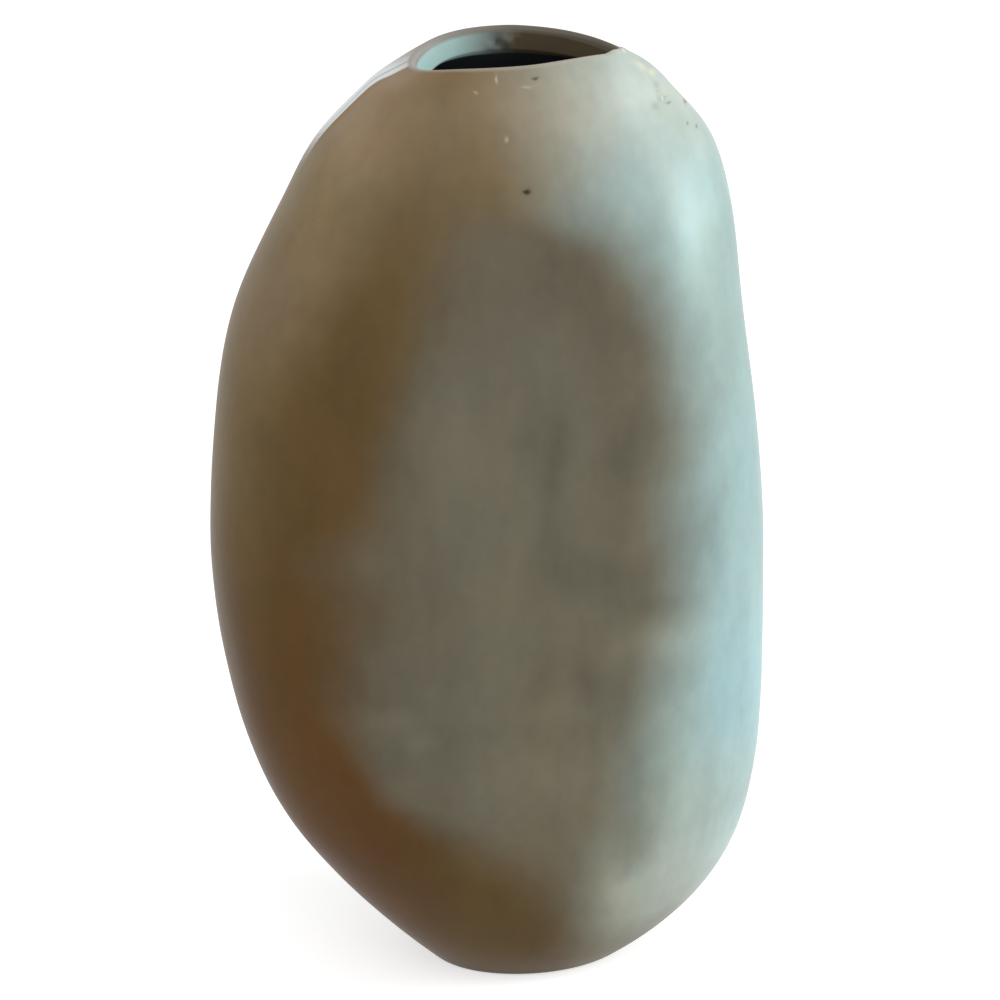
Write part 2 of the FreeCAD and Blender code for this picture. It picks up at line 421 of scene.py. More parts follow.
outside = skin[:LIP_OUT + 1]
lift = np.zeros(skin.shape[:2])
lift[:LIP_OUT + 1] = PALM_DEPTH * soft_noise(outside, PALM_SPREAD, PALM_SEED)
lift[:LIP_OUT + 1] += THUMB_DEPTH * soft_noise(outside, THUMB_SPREAD, THUMB_SEED)
for mark in PRESSES:
    lift[:LIP_OUT + 1] += press(outside, *mark)
rows_to_lip = np.arange(LIP_OUT + 1)
fade = np.clip(rows_to_lip / FLOOR_OUT, 0, 1) * np.clip((LIP_OUT - rows_to_lip) / SHOULDER_ROWS, 0, 1)
lift[:LIP_OUT + 1] *= fade[:, None]
print("walls moved by at most", round(np.abs(lift).max() / MM, 2), "mm")

# %% [markdown]
# ## Finger marks, ridge and lap
#
# The inside of the collar keeps small finger marks. A sharp little ridge runs down the left seam
# from the lip, where the two walls were pinched together, and the back wall swells behind it. The
# front of the lip ends in a step, where the strip of clay was lapped over itself. These are too
# small for the rings of the form, so they are moved out of the finished skin, as a finger would.
# The step ends a hair in front of the seam, so that rounding never moves it.

# %% Finger marks and the ridge
FINGER_MARKS = (
    # across, deep, height, spread, how far the clay comes out, all in mm
    (11.8, 21.0, 367.0, 2.4, 1.45),
    (8.4, 21.0, 366.2, 1.6, -0.9),
    (5.2, 21.0, 365.4, 1.9, 0.6),
    (15.8, 21.0, 368.4, 1.3, 0.45),
)
RIDGE_HEIGHT, RIDGE_SPREAD = 0.9 * MM, 3.5 * MM
RIDGE_TOP, RIDGE_END = 362 * MM, 334 * MM
BACK_SWELL = (-46, 16, 348, 15, 1.6)
for mark in FINGER_MARKS:
    lift[LIP_IN:EDGE_IN] += press(skin[LIP_IN:EDGE_IN], *mark)
up_the_ridge = np.clip((outside[..., 2] - RIDGE_END) / (RIDGE_TOP - RIDGE_END), 0, 1)
on_left_shoulder = (outside[..., 0] < 0) * up_the_ridge
ridge = np.exp(-np.abs(outside[..., 1]) / RIDGE_SPREAD) * np.sin(math.pi * on_left_shoulder)
lift[:LIP_OUT + 1] += RIDGE_HEIGHT * ridge + press(outside, *BACK_SWELL) * (outside[..., 1] > 0)
skin = skin + lift[:, :, None] * normals
print("clay moved by at most", round(np.abs(lift).max() / MM, 2), "mm")

# %% The lap of the lip
LAP_START, LAP_END, LAP_RISE, LAP_REACH = 41 * MM, 46 * MM, 1.3 * MM, 5 * MM
LAP_SIDE = -0.1 * MM
lapped = np.clip((skin[..., 0] - LAP_START) / (LAP_END - LAP_START), 0, 1) * (skin[..., 1] < LAP_SIDE)
lap = LAP_RISE * lapped ** 2 * (3 - 2 * lapped) * np.exp(-(past_lip / LAP_REACH) ** 2)
skin[..., 2] += lap
normals = directions(skin)
print("lap of the lip in mm:", round(lap.max() / MM, 2))

# %% [markdown]
# ## From skin to pieces
#
# The real vase is four pieces of clay. Each is cut from the skin as a closed solid: a strip of
# skin outside, a strip inside, and flat luting faces where it meets its neighbours. The skin faces
# keep the normals of the whole skin, and the luting faces get flat ones of their own.

# %% A closed piece from strips of skin
def make_piece(name, node, points, facing, crest_distance, skin_faces, luting_faces):
    """Builds one closed piece, shades it, and lets it stand for its CAD node."""
    mesh = bpy.data.meshes.new(name)
    mesh.from_pydata(points.tolist(), [], skin_faces + luting_faces)
    mesh.shade_smooth()
    corner_count = sum(len(face) for face in skin_faces)
    corners = np.empty(len(mesh.loops), int)
    mesh.loops.foreach_get("vertex_index", corners)
    shading = facing[corners]
    flat = np.empty(3 * len(mesh.polygons))
    mesh.polygons.foreach_get("normal", flat)
    sizes = [len(face) for face in skin_faces + luting_faces]
    flat = np.repeat(flat.reshape(-1, 3), sizes, axis=0)
    shading[corner_count:] = flat[corner_count:]
    mesh.normals_split_custom_set(shading.tolist())
    mesh.attributes.new("past_lip", "FLOAT", "POINT").data.foreach_set("value", crest_distance)
    made = bpy.data.objects.new(name, mesh)
    bpy.context.scene.collection.objects.link(made)
    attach(made, "root")
    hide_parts(node)
    print(name, len(mesh.polygons), "faces")
    return made


def strip_faces(rows, columns, closed):
    """Quads between neighbouring rows of a grid whose points are numbered row by row."""
    across = range(columns if closed else columns - 1)
    return [(r * columns + c, r * columns + (c + 1) % columns,
             (r + 1) * columns + (c + 1) % columns, (r + 1) * columns + c)
            for r in range(rows - 1) for c in across]


# %% [markdown]
# ## The two walls
#
# The front wall takes the half of the skin in front of the upright seams, and the back wall the
# other half. Its grid runs up the outside and down the inside, and four luting faces close it:
# one at the collar, one at the floor and one along each upright seam.

# %% The walls
def make_wall(name, node, first_column):
    """Half of the skin outside and inside, from one upright seam round to the other."""
    columns = (first_column + np.arange(COLUMNS // 2 + 1)) % COLUMNS
    rows = np.r_[FLOOR_OUT:SEAM_OUT + 1, SEAM_IN:FLOOR_IN + 1]
    pick = np.ix_(rows, columns)
    count, wide = len(rows), len(columns)
    half = count // 2
    faces = strip_faces(count, wide, False)
    at_collar = range((half - 1) * (wide - 1), half * (wide - 1))
    luting = [faces[k] for k in at_collar]
    faces = [face for k, face in enumerate(faces) if k not in at_collar]
    last = (count - 1) * wide
    luting += [(last + c, last + c + 1, c + 1, c) for c in range(wide - 1)]
    for r in range(half - 1):
        mate = count - 1 - r
        luting.append((r * wide, (r + 1) * wide, (mate - 1) * wide, mate * wide))
        luting.append((r * wide + wide - 1, mate * wide + wide - 1,
                       (mate - 1) * wide + wide - 1, (r + 1) * wide + wide - 1))
    return make_piece(name, node, skin[pick].reshape(-1, 3), normals[pick].reshape(-1, 3),
                      past_lip[pick].ravel(), faces, luting)


front_wall = make_wall("front_wall", "front_slab", COLUMNS // 2)
back_wall = make_wall("back_wall", "back_slab", 0)

# %% [markdown]
# ## The mouth ring and the foot
#
# The mouth ring is the shoulder's end, the lip and the collar in one: a closed band whose section
# is a hook. The foot is the floor slab, with a flat underside that was wiped clean of glaze.

# %% The mouth ring
mouth_rows = np.r_[SEAM_OUT:SEAM_IN + 1]
mouth_faces = strip_faces(len(mouth_rows), COLUMNS, True)
last = (len(mouth_rows) - 1) * COLUMNS
mouth_luting = [(last + c, last + (c + 1) % COLUMNS, (c + 1) % COLUMNS, c) for c in range(COLUMNS)]
mouth_ring = make_piece("mouth_ring", "mouth_collar", skin[mouth_rows].reshape(-1, 3),
                        normals[mouth_rows].reshape(-1, 3), past_lip[mouth_rows].ravel(),
                        mouth_faces, mouth_luting)

# %% The foot
DISC_STEPS = 8


def disc_rows(rim, steps):
    """Rows that shrink from a rim towards its middle, the last one very small."""
    centre = rim.mean(axis=0)
    return [centre + (rim - centre) * (1 - k / steps) for k in range(1, steps)]


under_rows = disc_rows(skin[0], DISC_STEPS)[::-1]
floor_rim = skin[FLOOR_IN].copy()
floor_rim[:, 2] = FLOOR_HEIGHT
floor_rows = [floor_rim] + disc_rows(floor_rim, DISC_STEPS)
foot_grid = np.concatenate([under_rows, skin[:FLOOR_OUT + 1], floor_rows])
up, down = np.array((0.0, 0.0, 1.0)), np.array((0.0, 0.0, -1.0))
foot_normals = np.concatenate([np.broadcast_to(down, np.shape(under_rows)), normals[:FLOOR_OUT + 1],
                               np.broadcast_to(up, np.shape(floor_rows))])
foot_distance = np.concatenate([np.full((len(under_rows), COLUMNS), past_lip[0].min()),
                                past_lip[:FLOOR_OUT + 1],
                                np.full((len(floor_rows), COLUMNS), past_lip[FLOOR_IN].max())])
foot_faces = strip_faces(len(foot_grid), COLUMNS, True)
seam_row = len(under_rows) + FLOOR_OUT
at_seam = range(seam_row * COLUMNS, (seam_row + 1) * COLUMNS)
foot_luting = [foot_faces[k] for k in at_seam]
foot_faces = [face for k, face in enumerate(foot_faces) if k not in at_seam]
last = (len(foot_grid) - 1) * COLUMNS
foot_luting += [tuple(range(COLUMNS))[::-1], tuple(range(last, last + COLUMNS))]
foot = make_piece("foot", "foot_slab", foot_grid.reshape(-1, 3), foot_normals.reshape(-1, 3),
                  foot_distance.ravel(), foot_faces, foot_luting)

# %% [markdown]
# ## Camera
#
# The vase is seen from a little above and slightly from its left, through a long lens, which keeps
# its outline calm.

# %% Camera
AZIMUTH, ELEVATION = math.radians(-12), math.radians(21)
DISTANCE, LENS, SENSOR = 1.5, 140.2, 36
AIM_HEIGHT, AIM_RIGHT, AIM_UP = 184 * MM, 4.65 * MM, 7.4 * MM
level_way = math.cos(ELEVATION)
back = Vector((math.sin(AZIMUTH) * level_way, -math.cos(AZIMUTH) * level_way, math.sin(ELEVATION)))
right = Vector((math.cos(AZIMUTH), math.sin(AZIMUTH), 0))
middle_height = Vector((0, 0, AIM_HEIGHT))
aim = middle_height + right * AIM_RIGHT + right.cross(-back) * AIM_UP
camera = bpy.data.objects.new("camera", bpy.data.cameras.new("camera"))
camera.data.lens = LENS
camera.data.sensor_width = SENSOR
camera.location = middle_height + back * DISTANCE
camera.rotation_mode = "QUATERNION"
camera.rotation_quaternion = (aim - camera.location).to_track_quat("-Z", "Y")
bpy.context.scene.collection.objects.link(camera)
bpy.context.scene.camera = camera
bpy.context.scene.view_settings.view_transform = "Standard"
print("camera in mm:", [round(place / MM) for place in camera.location])

# %% [markdown]
# ## Small helpers for shader nodes
#
# A glaze is built up in many small steps, and each step is a node. `add_node` adds one, sets its
# options and fills its sockets, and the short helpers after it are the steps that come back most.
# A material then reads like a recipe. All lengths inside the materials are in millimetres.

# %% Node helpers
def add_node(tree, kind, inputs=None, **options):
    """Adds a node. A socket takes a value or a link, and options are the node's own settings."""
    node = tree.nodes.new(kind)
    for name, value in options.items():
        setattr(node, name, value)
    for socket, value in (inputs or {}).items():
        if isinstance(value, bpy.types.NodeSocket):
            tree.links.new(value, node.inputs[socket])
        else:
            node.inputs[socket].default_value = value
    return node


def number(tree, operation, first, second=0.0):
    return add_node(tree, "ShaderNodeMath", {0: first, 1: second}, operation=operation).outputs[0]


def plus(tree, first, second):
    return number(tree, "ADD", first, second)


def minus(tree, first, second):
    return number(tree, "SUBTRACT", first, second)


def times(tree, first, second):
    return number(tree, "MULTIPLY", first, second)


def vector(tree, operation, first, second):
    return add_node(tree, "ShaderNodeVectorMath", {0: first, 1: second}, operation=operation).outputs[0]


def scaled(tree, value, scale):
    return add_node(tree, "ShaderNodeVectorMath", {0: value, "Scale": scale}, operation="SCALE").outputs[0]


def split_up(tree, position):
    """The X, Y and Z of a position."""
    return add_node(tree, "ShaderNodeSeparateXYZ", {0: position}).outputs


# %% Blending helpers
def rise(tree, value, low, high):
    """Goes softly from 0 to 1 while the value goes from low to high."""
    sockets = {"Value": value, "From Min": low, "From Max": high}
    return add_node(tree, "ShaderNodeMapRange", sockets, interpolation_type="SMOOTHSTEP").outputs["Result"]


def blend(tree, share, first, second):
    return add_node(tree, "ShaderNodeMix", {0: share, 6: first, 7: second}, data_type="RGBA").outputs[2]


def tone(red, green, blue):
    return (red, green, blue, 1.0)


WHITE = tone(1.0, 1.0, 1.0)

# %% [markdown]
# ## Tones and borders from a few points
#
# A glaze changes slowly over a large wall. It is enough to say what tone it has at a few heights,
# and where a border lies at a few heights. A colour ramp fills in the tones and a curve node the
# border, which then bends like something that flowed. The curve node's field is one wide and one
# tall, so heights and lengths are brought to that size and back.

# %% Tones and lengths that follow a few points
CURVE_TALL, CURVE_WIDE, CURVE_MIDDLE = 380.0, 260.0, 0.5


def tone_along(tree, value, stops):
    """Reads a tone along a value, from a few stops that are sorted upwards."""
    low, high = stops[0][0], stops[-1][0]
    share = add_node(tree, "ShaderNodeMapRange", {"Value": value, "From Min": low, "From Max": high})
    ramp = add_node(tree, "ShaderNodeValToRGB", {"Fac": share.outputs["Result"]})
    elements = ramp.color_ramp.elements
    for place, _ in stops[1:-1]:
        elements.new((place - low) / (high - low))
    for element, (_, colour) in zip(elements, stops):
        element.color = colour
    return ramp.outputs["Color"]


def on_curve(height, length):
    return height / CURVE_TALL, CURVE_MIDDLE + length / CURVE_WIDE


def length_along(tree, height, points):
    """Reads a length at a height, as a smooth curve through a few points."""
    node = add_node(tree, "ShaderNodeFloatCurve", {"Value": number(tree, "DIVIDE", height, CURVE_TALL)})
    curve = node.mapping.curves[0]
    for point in points[1:-1]:
        curve.points.new(*on_curve(*point))
    for pin, point in zip((curve.points[0], curve.points[-1]), (points[0], points[-1])):
        pin.location = on_curve(*point)
    node.mapping.update()
    return times(tree, minus(tree, node.outputs["Value"], CURVE_MIDDLE), CURVE_WIDE)


# %% [markdown]
# ## Node groups for what a kiln does
#
# Four effects make up every part of the glaze, so each is a node group with named sockets. The
# first two need a noise whose soft spots have a known size: raw noise stays near its middle, so it
# is taken from there and made four times stronger.

# %% Making and placing groups
NOISE_MIDDLE, NOISE_GAIN = 0.5, 4.0
DRIFT_DETAIL, CLOUD_DETAIL = 2.0, 3.0


def new_group(name, inputs, outputs):
    """Makes a node group. Returns it with the sockets that its own nodes read and fill."""
    group = bpy.data.node_groups.new(name, "ShaderNodeTree")
    for label, kind in inputs.items():
        group.interface.new_socket(name=label, in_out="INPUT", socket_type="NodeSocket" + kind)
    for label, kind in outputs.items():
        group.interface.new_socket(name=label, in_out="OUTPUT", socket_type="NodeSocket" + kind)
    return group, group.nodes.new("NodeGroupInput").outputs, group.nodes.new("NodeGroupOutput").inputs


def place_group(tree, group, inputs):
    return add_node(tree, "ShaderNodeGroup", inputs, node_tree=group).outputs


def noise_at(tree, position, spread, seed, detail):
    """A noise whose soft spots are about as wide as the spread."""
    near = scaled(tree, position, number(tree, "DIVIDE", 1.0, spread))
    sockets = {"Vector": near, "W": seed, "Scale": 1.0, "Detail": detail}
    return add_node(tree, "ShaderNodeTexNoise", sockets, noise_dimensions="4D").outputs


# %% [markdown]
# ## A place that wanders
#
# Molten glaze creeps, so no border in it is a drawn line. This group moves a place by a few
# millimetres, a little differently everywhere. Whatever is read at the moved place gets a melted
# edge, which costs nothing and works for borders and marks alike.

# %% The wandering place
wandering, given, made = new_group(
    "wandering_place",
    {"Position": "Vector", "Spread": "Float", "Amount": "Float", "Seed": "Float"}, {"Position": "Vector"})
drift = noise_at(wandering, given["Position"], given["Spread"], given["Seed"], DRIFT_DETAIL)["Color"]
drift = vector(wandering, "SUBTRACT", drift, (NOISE_MIDDLE, NOISE_MIDDLE, NOISE_MIDDLE))
drift = scaled(wandering, drift, times(wandering, given["Amount"], NOISE_GAIN))
wandering.links.new(vector(wandering, "ADD", given["Position"], drift), made["Position"])


def wander(tree, position, spread, amount, seed):
    sockets = {"Position": position, "Spread": spread, "Amount": amount, "Seed": seed}
    return place_group(tree, wandering, sockets)["Position"]


# %% [markdown]
# ## Clouds
#
# A brushed or poured glaze lies thicker here and thinner there. The clouds say where, as numbers
# round zero. They can be stretched upwards, because wet glaze runs down before it dries.

# %% The clouds
clouds, given, made = new_group(
    "clouds",
    {"Position": "Vector", "Spread": "Float", "Stretch": "Float", "Seed": "Float"}, {"Value": "Float"})
flatter = number(clouds, "DIVIDE", 1.0, given["Stretch"])
squeeze = add_node(clouds, "ShaderNodeCombineXYZ", {"X": 1.0, "Y": 1.0, "Z": flatter})
squeezed = vector(clouds, "MULTIPLY", given["Position"], squeeze.outputs[0])
raw = noise_at(clouds, squeezed, given["Spread"], given["Seed"], CLOUD_DETAIL)["Fac"]
clouds.links.new(times(clouds, minus(clouds, raw, NOISE_MIDDLE), NOISE_GAIN), made["Value"])


def cloud(tree, position, spread, stretch, seed):
    sockets = {"Position": position, "Spread": spread, "Stretch": stretch, "Seed": seed}
    return place_group(tree, clouds, sockets)["Value"]


# %% [markdown]
# ## A soft patch
#
# Some spots have a place of their own: a thin patch, a run, a pit. A patch is one in its middle and
# falls off like a bell to all sides. Its three sizes make it round, tall or flat.

# %% The soft patch
soft_patch, given, made = new_group(
    "soft_patch", {"Position": "Vector", "Centre": "Vector", "Size": "Vector"}, {"Mask": "Float"})
away = vector(soft_patch, "SUBTRACT", given["Position"], given["Centre"])
away = vector(soft_patch, "DIVIDE", away, given["Size"])
squared = add_node(soft_patch, "ShaderNodeVectorMath", {0: away, 1: away}, operation="DOT_PRODUCT")
falling = times(soft_patch, squared.outputs["Value"], -1.0)
soft_patch.links.new(number(soft_patch, "EXPONENT", falling), made["Mask"])


def patch(tree, position, centre, size):
    sockets = {"Position": position, "Centre": centre, "Size": size}
    return place_group(tree, soft_patch, sockets)["Mask"]


# %% [markdown]
# ## Pinholes
#
# Gas that leaves the clay in the kiln makes tiny pits. They are scattered, not placed: the wall is
# divided into cells, a small share of the cells is chosen by its random colour, and each chosen
# cell gets one round hole that is darkest in its middle part.

# %% The pinholes
HOLE_MIDDLE_SHARE = 0.4
pinholes, given, made = new_group(
    "pinholes",
    {"Position": "Vector", "Spacing": "Float", "Size": "Float", "Share": "Float"}, {"Mask": "Float"})
near = scaled(pinholes, given["Position"], number(pinholes, "DIVIDE", 1.0, given["Spacing"]))
cells = add_node(pinholes, "ShaderNodeTexVoronoi", {"Vector": near, "Scale": 1.0})
distance = times(pinholes, cells.outputs["Distance"], given["Spacing"])
hole = rise(pinholes, distance, given["Size"], times(pinholes, given["Size"], HOLE_MIDDLE_SHARE))
red = add_node(pinholes, "ShaderNodeSeparateColor", {0: cells.outputs["Color"]}).outputs[0]
chosen = number(pinholes, "LESS_THAN", red, given["Share"])
pinholes.links.new(times(pinholes, hole, chosen), made["Mask"])
print("node groups:", [group.name for group in bpy.data.node_groups])

# %% [markdown]
# ## How the tone drifts over the walls
#
# The tone drifts over the walls: umber on the left, a taupe panel over most of the front, and a
# pale celadon down the right side and over the right shoulder. Only the taupe is the glaze's own
# tone. The umber band is painted warm shade, the lighter left flank painted warm bounce light, and
# the celadon painted cool light. The borders could be painted on the mesh, but a few points each
# keep them smooth and easy to move. Two curves say how far across the taupe begins and ends at
# each height, one how far its left border blurs, and one where the umber gives way to the lighter
# left flank.

# %% Borders of the walls
TAUPE_LEFT = (
    # height, and how far across the taupe begins there
    (0, 38), (23, 30), (48, 15), (60, 0), (72, -16), (83, -36), (93, -51), (110, -59), (122, -64),
    (150, -64), (164, -59), (176, -58), (188, -63), (198, -61), (208, -53), (222, -50), (238, -50),
    (256, -44), (276, -36), (308, -27), (325, -20), (340, -10), (380, 2),
)
LEFT_SOFTNESS = (
    # height, and how far the border blurs to each side
    (0, 22), (60, 24), (76, 20), (92, 12), (115, 12), (130, 17), (150, 19), (166, 27), (194, 31),
    (206, 24), (220, 16), (300, 17), (380, 17),
)
TAUPE_RIGHT = (
    (0, 36), (44, 31), (65, 37), (87, 45), (108, 50), (130, 58), (168, 65), (207, 68), (245, 67),
    (284, 58), (303, 46), (325, 25), (350, 21), (380, 20),
)
FLANK_BORDER = (
    (0, -40), (60, -62), (100, -80), (130, -86), (174, -88), (222, -80), (272, -64), (308, -47),
    (342, -30), (380, -15),
)
print("points of the borders:", len(TAUPE_LEFT), len(TAUPE_RIGHT), len(FLANK_BORDER))

# %% [markdown]
# ## Tones of the walls
#
# Each list gives the tone at a few heights, as linear red, green and blue. From left to right they
# are the flank, the umber band, the taupe panel and the celadon. Only the taupe is the glaze's own
# tone: the flank is painted warm bounce light, the umber band painted warm shade and the celadon
# painted cool light. The band and the flank are painted darker low on the wall and lighter towards
# the shoulder. The celadon is palest above the foot and on the shoulder, and darkest right at the
# foot, as painted shade. An olive umber lies between umber and celadon low on the wall.

# %% Tones of the walls
# The band is painted warm shade, the flank painted warm bounce light and the pale tones painted cool light
# height, and the tone there
SHADED_BAND_TONES = (
    (60, tone(0.100, 0.043, 0.008)), (150, tone(0.102, 0.050, 0.011)),
    (220, tone(0.110, 0.064, 0.020)), (300, tone(0.122, 0.078, 0.028)),
    (330, tone(0.150, 0.104, 0.047)), (352, tone(0.196, 0.136, 0.070)),
)
BOUNCE_LIT_FLANK_TONES = (
    (60, tone(0.094, 0.040, 0.006)), (130, tone(0.110, 0.056, 0.016)),
    (170, tone(0.130, 0.080, 0.030)), (245, tone(0.180, 0.124, 0.054)),
    (284, tone(0.212, 0.150, 0.086)), (325, tone(0.235, 0.175, 0.094)),
    (352, tone(0.310, 0.220, 0.135)),
)
TAUPE_TONES = (
    (50, tone(0.150, 0.130, 0.086)), (90, tone(0.142, 0.126, 0.086)),
    (150, tone(0.126, 0.113, 0.077)), (230, tone(0.126, 0.113, 0.078)),
    (300, tone(0.120, 0.104, 0.072)),
)
LIT_PALE_TONES = (
    (12, tone(0.170, 0.160, 0.120)), (34, tone(0.340, 0.385, 0.345)),
    (50, tone(0.362, 0.420, 0.380)), (72, tone(0.305, 0.380, 0.350)),
    (110, tone(0.276, 0.382, 0.372)), (200, tone(0.264, 0.375, 0.367)),
    (260, tone(0.251, 0.355, 0.348)), (305, tone(0.262, 0.353, 0.335)),
    (325, tone(0.305, 0.402, 0.385)), (350, tone(0.404, 0.464, 0.422)),
)
OLIVE_TONE = tone(0.104, 0.062, 0.018)
print("tones up the wall:", len(SHADED_BAND_TONES), len(BOUNCE_LIT_FLANK_TONES), len(TAUPE_TONES), len(LIT_PALE_TONES))

# %% [markdown]
# ## Past the borders
#
# How far a place lies past each border decides how much of the next tone it takes. The place
# wanders first, slowly and then quickly, so both borders come out uneven and the back gets its own.
# The right border is one broad slow change, so it leaves the quick part out. The left border is
# crisp below the belly and softest across it, and the right one is softer on the shoulder.

# %% Shares of the wall tones
SLOW_DRIFT = (44.0, 4.5, 2.0)
QUICK_DRIFT = (10.0, 1.0, 5.0)
RIGHT_SOFTNESS, RIGHT_SHOULDER_SOFTNESS = 22.0, 14.0
SHOULDER_HEIGHTS = (285.0, 330.0)
FLANK_SPAN = (4.0, -26.0)
PANEL_TOP = (338.0, 308.0)

wall_tones, given, made = new_group(
    "wall_tones", {"Position": "Vector"}, {"Tone": "Color", "Dryness": "Float"})
tree = wall_tones
drifted = wander(tree, given["Position"], *SLOW_DRIFT)
place = wander(tree, drifted, *QUICK_DRIFT)
calm = split_up(tree, drifted)
across, height = (split_up(tree, place)[letter] for letter in "XZ")
past_left = minus(tree, across, length_along(tree, height, TAUPE_LEFT))
past_right = minus(tree, calm["X"], length_along(tree, calm["Z"], TAUPE_RIGHT))
past_flank = minus(tree, across, length_along(tree, height, FLANK_BORDER))
left_softness = length_along(tree, height, LEFT_SOFTNESS)
right_softness = times(tree, rise(tree, height, *SHOULDER_HEIGHTS), RIGHT_SHOULDER_SOFTNESS)
right_softness = plus(tree, right_softness, RIGHT_SOFTNESS)
flank = rise(tree, past_flank, *FLANK_SPAN)
in_taupe = rise(tree, number(tree, "DIVIDE", past_left, left_softness), -1.0, 1.0)
in_panel = times(tree, in_taupe, rise(tree, height, *PANEL_TOP))
pale = rise(tree, number(tree, "DIVIDE", past_right, right_softness), -1.0, 1.0)
print("nodes for the shares:", len(tree.nodes))

# %% [markdown]
# ## From umber to celadon
#
# The painted warm shade and bounce light come first, then the taupe panel over them, then the
# painted cool light of the celadon over both. The celadon is a little warmer beside its border low
# on the wall, and cooler along the right edge, as more painted cool light, and in the painted
# highlight on the right shoulder. Both are filters, that is tones that multiply what lies below.

# %% One tone out of all
FRONT_PLACE, FRONT_DEPTH = -55.0, 60.0
OLIVE_ACROSS, OLIVE_HEIGHTS = (-50.0, -8.0), (100.0, 72.0)
NEAR_BORDER, NEAR_BORDER_HEIGHTS = (34.0, 4.0), (150.0, 105.0)
RIGHT_EDGE, RIGHT_EDGE_HEIGHTS = (64.0, 90.0), (215.0, 130.0)
# Place of a painted highlight on the right shoulder, where the glaze is also glossier
SHOULDER_HIGHLIGHT_PLACE, SHOULDER_HIGHLIGHT_SIZE = (68.0, FRONT_PLACE, 313.0), (8.0, FRONT_DEPTH, 15.0)
# The cool filter paints cool light down the right edge and tints the painted shoulder highlight
WARM_FILTER, COOL_LIGHT_FILTER = tone(0.97, 0.90, 0.82), tone(1.03, 1.10, 1.15)

# Painted warm shade on the umber band and painted warm bounce light on the left flank
warm_shade_and_bounce = blend(tree, flank, tone_along(tree, height, SHADED_BAND_TONES), tone_along(tree, height, BOUNCE_LIT_FLANK_TONES))
olive = times(tree, rise(tree, across, *OLIVE_ACROSS), rise(tree, height, *OLIVE_HEIGHTS))
warm_shade_and_bounce = blend(tree, olive, warm_shade_and_bounce, OLIVE_TONE)
colour = blend(tree, in_panel, warm_shade_and_bounce, tone_along(tree, height, TAUPE_TONES))
near_border = times(tree, rise(tree, past_right, *NEAR_BORDER), rise(tree, height, *NEAR_BORDER_HEIGHTS))
right_edge = times(tree, rise(tree, across, *RIGHT_EDGE), rise(tree, height, *RIGHT_EDGE_HEIGHTS))
shoulder_highlight = patch(tree, place, SHOULDER_HIGHLIGHT_PLACE, SHOULDER_HIGHLIGHT_SIZE)
glaze_filter = blend(tree, near_border, WHITE, WARM_FILTER)
glaze_filter = blend(tree, number(tree, "MAXIMUM", right_edge, shoulder_highlight), glaze_filter, COOL_LIGHT_FILTER)
lit_celadon = vector(tree, "MULTIPLY", tone_along(tree, height, LIT_PALE_TONES), glaze_filter)
colour = blend(tree, pale, colour, lit_celadon)
print("nodes with the tones:", len(tree.nodes))

# %% [markdown]
# ## Lighter and darker places
#
# Three sizes of clouds and a table of patches make the tone lighter or darker. The patches are the
# spots of the real panel that are large enough to know again, except the last one, which is a
# painted highlight on the right shoulder. They are centred on the front wall and reach into the
# vase without touching the back one much. A last slow cloud makes the hue a little warmer or
# cooler. Where the clouds are high the glaze is dry and rough, and under the painted highlight on
# the shoulder the glaze is glossiest, which `Dryness` tells the shader.

# %% Clouds and patches
PATCHES = (
    # across, height, width, tall, share by which the tone gets lighter
    (18, 299, 15, 18, -0.16),
    (34, 277, 12, 18, -0.14),
    (50, 337, 15, 12, -0.09),
    (41, 226, 10, 20, -0.22),
    (11, 229, 7, 24, -0.19),
    (3, 203, 6, 22, 0.08),
    (0, 237, 5, 15, -0.07),
    (-9, 216, 5, 9, 0.08),
    (17, 184, 14, 12, -0.14),
    (38, 181, 12, 9, -0.15),
    (53, 170, 13, 6, -0.17),
    (55, 152, 13, 8, 0.26),
    (-8, 168, 9, 20, 0.09),
    (26, 137, 6, 16, -0.12),
    (36, 142, 4, 11, 0.06),
    (42, 123, 4, 16, -0.10),
    (10, 128, 10, 6, 0.14),
    (24, 122, 7, 5, 0.12),
    (58, 121, 12, 7, 0.06),
    (47, 98, 8, 20, -0.12),
    (34, 98, 7, 18, 0.10),
    (47, 60, 9, 9, -0.12),
    (-28, 118, 8, 8, -0.12),
    (-52, 126, 11, 5, 0.22),
    (-36, 118, 9, 4, 0.16),
    (-40, 188, 12, 14, -0.06),
    (-57, 191, 7, 7, 0.10),
    (-57, 146, 5, 13, 0.08),
    (-44, 92, 8, 9, 0.07),
    (-22, 235, 10, 34, 0.09),
    (70, 103, 12, 10, 0.04),
    (38, 48, 9, 6, 0.12),
    (44, 74, 10, 20, -0.20),
    (11, 102, 17, 11, 0.13),
    (37, 150, 10, 8, 0.12),
    # A painted highlight on the right shoulder
    (70, 308, 12, 26, 0.24),
)
CLOUD_LAYERS = (
    # spread, stretch, seed, strength
    (24.0, 2.2, 3.0, 0.10),
    (9.0, 2.2, 17.0, 0.055),
    (5.0, 1.3, 7.0, 0.05),
)
HUE_CLOUD, HUE_SPAN = (30.0, 1.6, 11.0), (-0.9, 0.9)
WARM_TINT, COOL_TINT = tone(1.025, 0.99, 0.955), tone(0.98, 1.008, 1.03)
SHOULDER_HIGHLIGHT_GLOSS = 2.2

